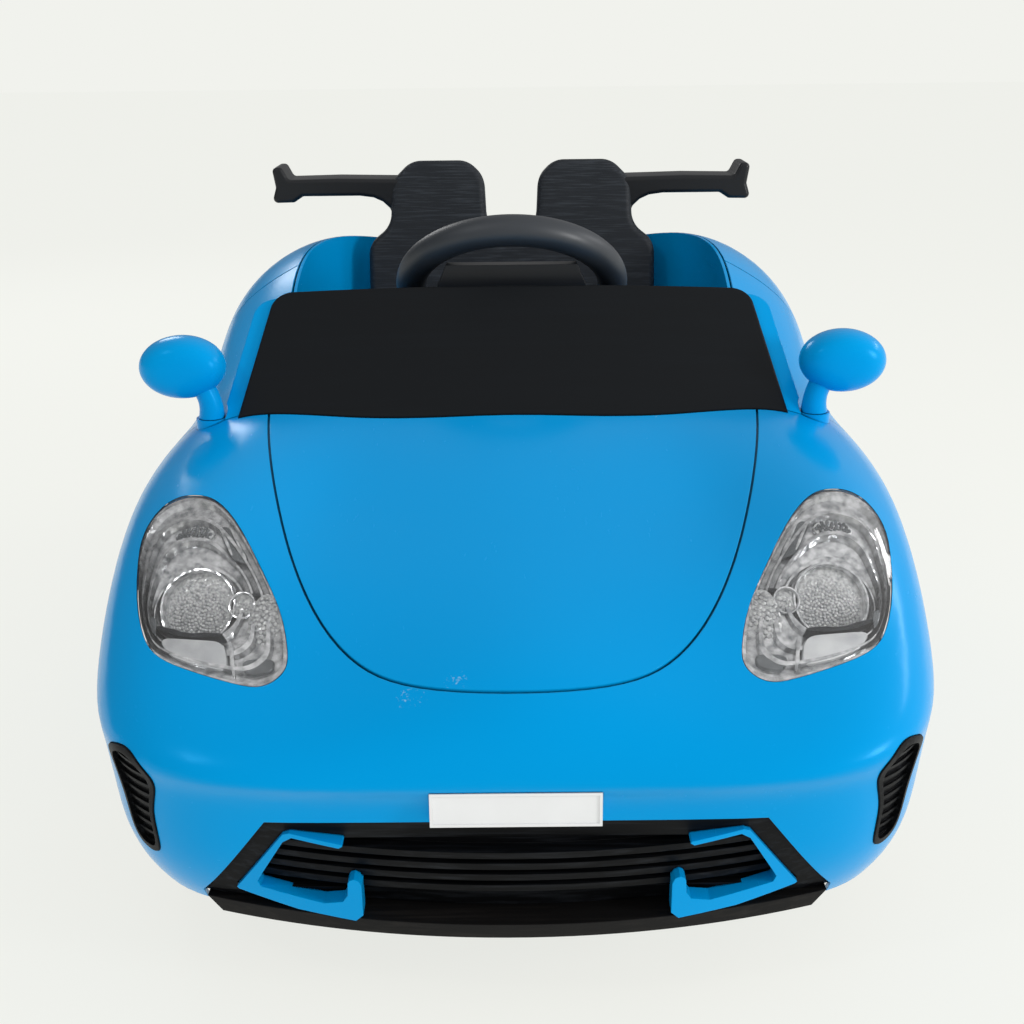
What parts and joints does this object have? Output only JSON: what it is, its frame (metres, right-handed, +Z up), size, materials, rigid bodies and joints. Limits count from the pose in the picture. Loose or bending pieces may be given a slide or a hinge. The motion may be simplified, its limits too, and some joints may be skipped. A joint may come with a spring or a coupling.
{
  "type": "electric ride-on car",
  "caption": "Child's battery ride-on sports car with a glossy moulded body, linked front steering, a geared rear drive, rocker switches, sprung pedal and turning door mirrors.",
  "frame": {"origin": "on the floor under the middle of the car's bounding box", "axes": "+Y to the rear, +X to the car's left, +Z up"},
  "size_m": [0.624, 1.0358, 0.4948],
  "materials": {
    "blue_gloss": "moulded high gloss",
    "black_satin": "satin",
    "black_grain": "fine moulded grain",
    "tyre_plastic": "blow-moulded, matte",
    "silver_trim": "silver, semi-gloss",
    "white_plate": "plain white",
    "clear_lens": "clear moulded plastic",
    "bright_reflector": "metallised plastic",
    "lamp_dome": "clear dome",
    "red_lens": "transparent red",
    "red_button": "semi-gloss",
    "grey_button": "semi-gloss",
    "mirror_face": "polished",
    "zinc_steel": "zinc plated",
    "white_nylon": "moulded nylon",
    "grey_case": "moulded",
    "battery_case": "moulded"
  },
  "bodies": {
    "car_body": {"battery": "battery_case", "battery_strap": "black_grain", "body_shell": "blue_gloss", "charging_inlet": "black_grain", "chassis_tray": "black_grain", "cockpit_liner": "blue_gloss", "corner_vents": "black_grain", "dash_panel": "black_satin", "front_grille": "black_grain", "front_lip": "black_grain", "gearbox_case_inner": "grey_case", "gearbox_case_outer": "grey_case", "grille_trims": "blue_gloss", "headlamp_leds": "lamp_dome", "headlamp_lenses": "clear_lens", "headlamp_reflectors": "bright_reflector", "hood_panel": "blue_gloss", "mirror_sockets": "blue_gloss", "motor": "zinc_steel", "number_plate": "white_plate", "pedal_base": "black_grain", "rear_axle": "zinc_steel", "rear_skirt": "black_grain", "rear_wings": "black_grain", "screen_frame": "blue_gloss", "seat_back": "black_grain", "seat_base": "black_grain", "strap_screws": "zinc_steel", "switch_bezels": "black_grain", "tail_lamps": "red_lens", "windscreen": "black_satin"},
    "steering": {"steering_wheel": "black_grain", "steering_pad": "black_grain", "steering_column": "zinc_steel"},
    "horn": {"horn_button": "red_button"},
    "music": {"music_button": "grey_button"},
    "front_knuckle_left": {"knuckle_left": "zinc_steel", "knuckle_keepers_left": "zinc_steel"},
    "front_knuckle_right": {"knuckle_right": "zinc_steel", "knuckle_keepers_right": "zinc_steel"},
    "track_rod": {"tie_rod": "zinc_steel"},
    "front_wheel_left": {"wheel_front_left": "tyre_plastic", "wheel_cover_front_left": "silver_trim"},
    "front_wheel_right": {"wheel_front_right": "tyre_plastic", "wheel_cover_front_right": "silver_trim"},
    "rear_wheel_left": {"wheel_rear_left": "tyre_plastic", "wheel_cover_rear_left": "silver_trim", "output_gear": "white_nylon"},
    "rear_wheel_right": {"wheel_rear_right": "tyre_plastic", "wheel_cover_rear_right": "silver_trim"},
    "cluster_rear": {"cluster_gear_rear": "white_nylon"},
    "cluster_front": {"cluster_gear_front": "white_nylon"},
    "rotor": {"motor_pinion": "zinc_steel"},
    "accelerator": {"accelerator_pedal": "black_grain"},
    "power_switch": {"power_rocker": "red_button"},
    "direction_switch": {"direction_rocker": "black_grain"},
    "mirror_left": {"mirror_housing_left": "blue_gloss", "mirror_glass_left": "mirror_face"},
    "mirror_right": {"mirror_housing_right": "blue_gloss", "mirror_glass_right": "mirror_face"}
  },
  "joints": [
    {"name": "steer", "type": "hinge", "parent": "car_body", "child": "steering", "pos_m": [0, 0.02, 0.404], "axis": [0, 0.6428, 0.766], "range_deg": [-40, 40]},
    {"name": "horn_press", "type": "slide", "parent": "steering", "child": "horn", "axis": [0, -0.6428, -0.766], "range_m": [0, 0.0025], "stiffness_N_per_m": 400, "springref_m": -0.0015},
    {"name": "music_press", "type": "slide", "parent": "steering", "child": "music", "axis": [0, -0.6428, -0.766], "range_m": [0, 0.0025], "stiffness_N_per_m": 400, "springref_m": -0.0015},
    {"name": "kingpin_left", "type": "hinge", "parent": "car_body", "child": "front_knuckle_left", "pos_m": [0.178, -0.275, 0.095], "axis": [0, 0, 1], "range_deg": [-21, 21]},
    {"name": "kingpin_right", "type": "hinge", "parent": "car_body", "child": "front_knuckle_right", "pos_m": [-0.178, -0.275, 0.095], "axis": [0, 0, 1], "range_deg": [-21, 21]},
    {"name": "track_rod_end", "type": "hinge", "parent": "front_knuckle_left", "child": "track_rod", "pos_m": [0.178, -0.20133, 0.078], "axis": [0, 0, 1], "range_deg": [-21, 21]},
    {"name": "front_left_spin", "type": "hinge", "parent": "front_knuckle_left", "child": "front_wheel_left", "pos_m": [0.241, -0.275, 0.095], "axis": [1, 0, 0], "continuous": true},
    {"name": "front_right_spin", "type": "hinge", "parent": "front_knuckle_right", "child": "front_wheel_right", "pos_m": [-0.241, -0.275, 0.095], "axis": [1, 0, 0], "continuous": true},
    {"name": "rear_left_spin", "type": "hinge", "parent": "car_body", "child": "rear_wheel_left", "pos_m": [0.241, 0.29, 0.095], "axis": [1, 0, 0], "continuous": true},
    {"name": "rear_right_spin", "type": "hinge", "parent": "car_body", "child": "rear_wheel_right", "pos_m": [-0.241, 0.29, 0.095], "axis": [1, 0, 0], "continuous": true},
    {"name": "cluster_rear_spin", "type": "hinge", "parent": "car_body", "child": "cluster_rear", "pos_m": [0.187, 0.25678, 0.11266], "axis": [1, 0, 0], "continuous": true},
    {"name": "cluster_front_spin", "type": "hinge", "parent": "car_body", "child": "cluster_front", "pos_m": [0.187, 0.22513, 0.12055], "axis": [1, 0, 0], "continuous": true},
    {"name": "rotor_spin", "type": "hinge", "parent": "car_body", "child": "rotor", "pos_m": [0.17, 0.19557, 0.10677], "axis": [1, 0, 0], "continuous": true},
    {"name": "accelerate", "type": "hinge", "parent": "car_body", "child": "accelerator", "pos_m": [-0.075, -0.062, 0.085], "axis": [1, 0, 0], "range_deg": [0, 12], "stiffness_Nm_per_rad": 1, "springref_deg": -8.59},
    {"name": "power_rock", "type": "hinge", "parent": "car_body", "child": "power_switch", "pos_m": [0.105, -0.02887, 0.35442], "axis": [1, 0, 0], "range_deg": [-9, 9]},
    {"name": "direction_rock", "type": "hinge", "parent": "car_body", "child": "direction_switch", "pos_m": [-0.105, -0.02887, 0.35442], "axis": [1, 0, 0], "range_deg": [-9, 9]},
    {"name": "mirror_left_swivel", "type": "hinge", "parent": "car_body", "child": "mirror_left", "pos_m": [0.254, -0.148, 0.324], "axis": [0, 0, 1], "range_deg": [-25, 25]},
    {"name": "mirror_right_swivel", "type": "hinge", "parent": "car_body", "child": "mirror_right", "pos_m": [-0.254, -0.148, 0.324], "axis": [0, 0, 1], "range_deg": [-25, 25]}
  ],
  "couplings": [
    {"joint": "kingpin_left", "follows": "steer", "ratio": 0.52},
    {"joint": "kingpin_right", "follows": "steer", "ratio": 0.52},
    {"joint": "track_rod_end", "follows": "steer", "ratio": -0.52},
    {"joint": "cluster_rear_spin", "follows": "rear_left_spin", "ratio": -4},
    {"joint": "cluster_front_spin", "follows": "rear_left_spin", "ratio": 13.333},
    {"joint": "rotor_spin", "follows": "rear_left_spin", "ratio": -44.444}
  ]
}
